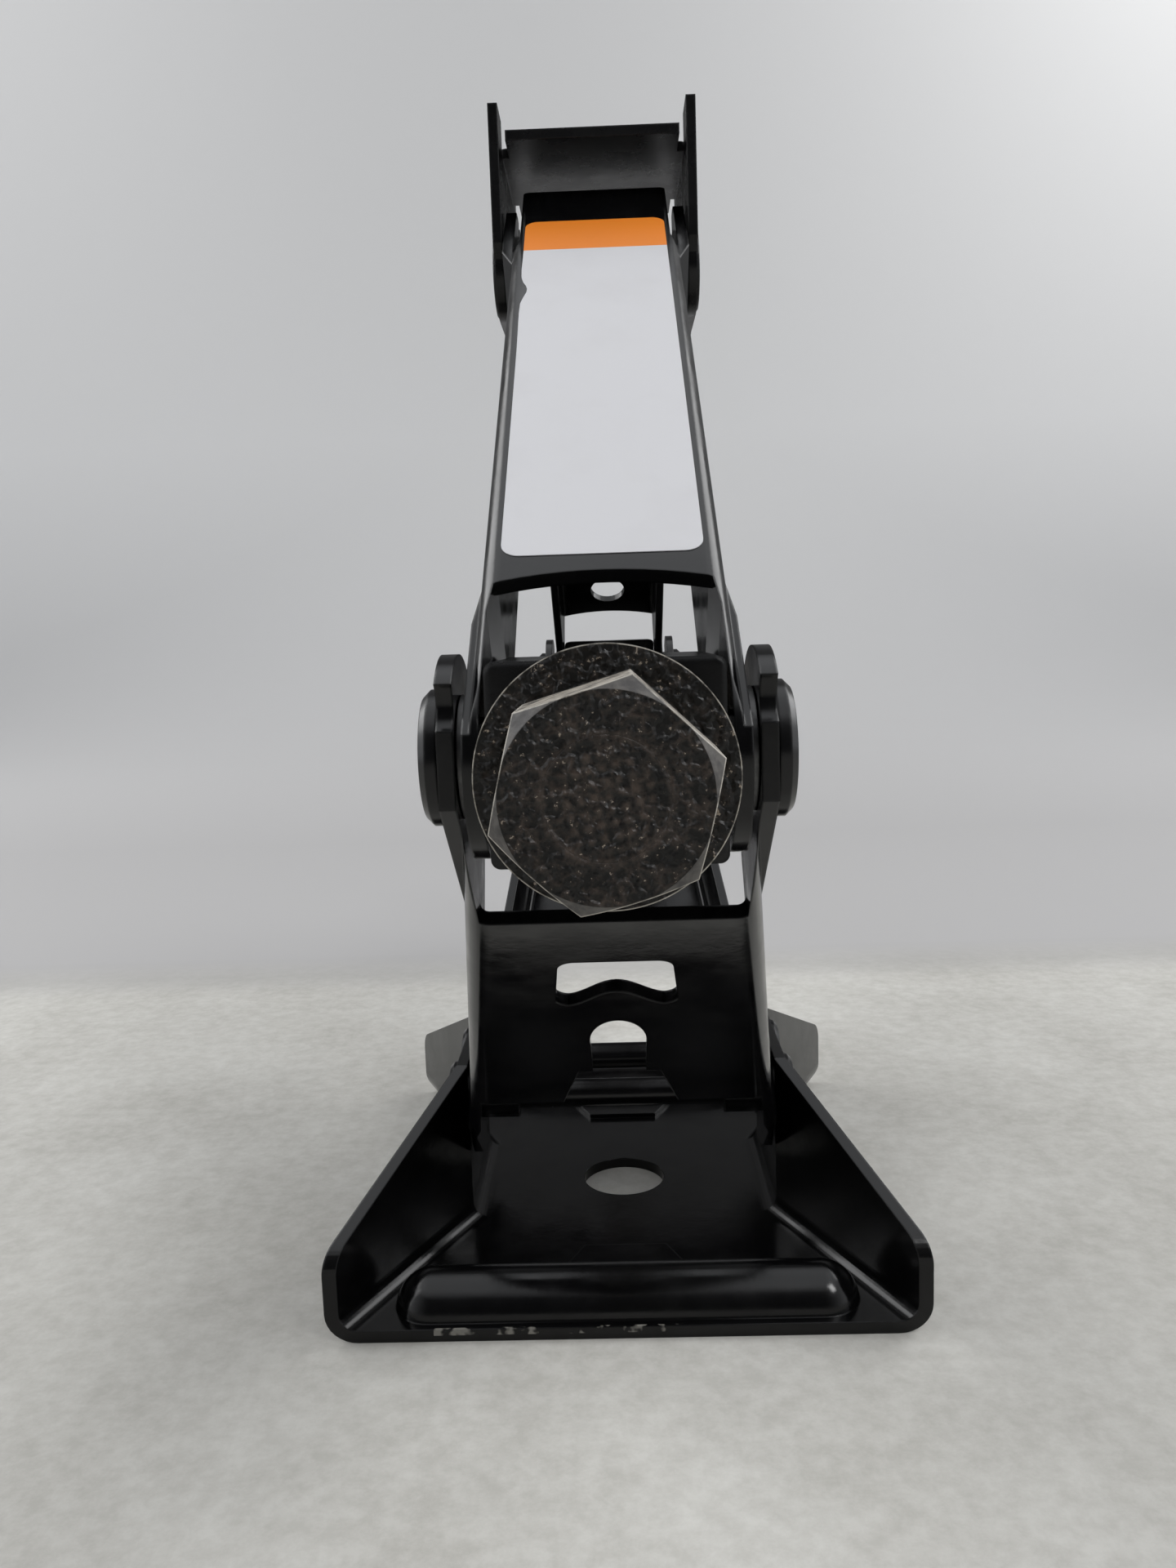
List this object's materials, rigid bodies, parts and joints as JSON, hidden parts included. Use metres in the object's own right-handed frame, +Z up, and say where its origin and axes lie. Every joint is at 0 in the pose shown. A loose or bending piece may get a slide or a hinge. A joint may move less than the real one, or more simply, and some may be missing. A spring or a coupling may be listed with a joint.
{
  "type": "scissor jack",
  "caption": "Scissor jack with pressed steel arms, gear-tooth pivots, a cross screw with hex drive head, a flared base and an eared saddle.",
  "frame": {"origin": "centre of the base hole at the ground face", "axes": "+Z up from the ground to the saddle, +Y along the screw away from the drive head, +X to the right seen from the drive head"},
  "size_m": [0.1188, 0.3752, 0.2446],
  "materials": {
    "black_coat": "gloss black dip coat",
    "pin_steel": "black coated steel pins",
    "washer_steel": "plain steel",
    "screw_steel": "oiled rolled steel",
    "forged_black": "rough black forged",
    "bearing_steel": "polished bearing steel",
    "cage_plastic": "moulded"
  },
  "bodies": {
    "base": {"base_plate": "black_coat", "base_pin_front": "pin_steel", "base_pin_rear": "pin_steel"},
    "lower_arm_front": {"front_lower_arm": "black_coat"},
    "lower_arm_rear": {"rear_lower_arm": "black_coat"},
    "trunnion_front": {"front_trunnion_block": "black_coat", "front_pin_right": "pin_steel", "front_pin_left": "pin_steel", "front_spacer_right": "washer_steel", "front_spacer_left": "washer_steel", "race_block_side": "bearing_steel", "bearing_washer": "washer_steel"},
    "trunnion_rear": {"rear_trunnion_nut": "black_coat", "rear_pin_right": "pin_steel", "rear_pin_left": "pin_steel", "rear_spacer_right": "washer_steel", "rear_spacer_left": "washer_steel"},
    "upper_arm_front": {"front_upper_arm": "black_coat"},
    "upper_arm_rear": {"rear_upper_arm": "black_coat"},
    "saddle_top": {"saddle": "black_coat", "saddle_pin_front": "pin_steel", "saddle_pin_rear": "pin_steel"},
    "screw": {"lead_screw": "screw_steel", "drive_head": "forged_black", "race_head_side": "bearing_steel", "screw_collar": "washer_steel", "screw_end_stop": "washer_steel"},
    "bearing_cage": {"ball_cage": "cage_plastic", "bearing_balls": "bearing_steel"}
  },
  "joints": [
    {"name": "lift", "type": "hinge", "parent": "base", "child": "lower_arm_front", "pos_m": [0, -0.012, 0.0293], "axis": [-1, 0, 0], "range_deg": [-33.4, 35.6]},
    {"name": "rear_arm_swing", "type": "hinge", "parent": "base", "child": "lower_arm_rear", "pos_m": [0, 0.012, 0.0293], "axis": [1, 0, 0], "range_deg": [-33.4, 35.6]},
    {"name": "front_trunnion_turn", "type": "hinge", "parent": "lower_arm_front", "child": "trunnion_front", "pos_m": [0, -0.12405, 0.12134], "axis": [1, 0, 0], "range_deg": [-33.4, 35.6]},
    {"name": "rear_trunnion_turn", "type": "hinge", "parent": "lower_arm_rear", "child": "trunnion_rear", "pos_m": [0, 0.12405, 0.12134], "axis": [-1, 0, 0], "range_deg": [-33.4, 35.6]},
    {"name": "front_upper_swing", "type": "hinge", "parent": "lower_arm_front", "child": "upper_arm_front", "pos_m": [0, -0.12405, 0.12134], "axis": [1, 0, 0], "range_deg": [-66.8, 71.2]},
    {"name": "rear_upper_swing", "type": "hinge", "parent": "lower_arm_rear", "child": "upper_arm_rear", "pos_m": [0, 0.12405, 0.12134], "axis": [-1, 0, 0], "range_deg": [-66.8, 71.2]},
    {"name": "saddle_level", "type": "hinge", "parent": "upper_arm_front", "child": "saddle_top", "pos_m": [0, -0.012, 0.21337], "axis": [-1, 0, 0], "range_deg": [-33.4, 35.6]},
    {"name": "screw_spin", "type": "hinge", "parent": "trunnion_front", "child": "screw", "pos_m": [0, -0.12405, 0.12134], "axis": [0, 1, 0], "continuous": true},
    {"name": "cage_spin", "type": "hinge", "parent": "trunnion_front", "child": "bearing_cage", "pos_m": [0, -0.12405, 0.12134], "axis": [0, 1, 0], "continuous": true}
  ],
  "couplings": [
    {"joint": "rear_arm_swing", "follows": "lift", "ratio": 1},
    {"joint": "front_trunnion_turn", "follows": "lift", "ratio": 1},
    {"joint": "rear_trunnion_turn", "follows": "lift", "ratio": 1},
    {"joint": "front_upper_swing", "follows": "lift", "ratio": 2},
    {"joint": "rear_upper_swing", "follows": "lift", "ratio": 2},
    {"joint": "saddle_level", "follows": "lift", "ratio": 1}
  ]
}
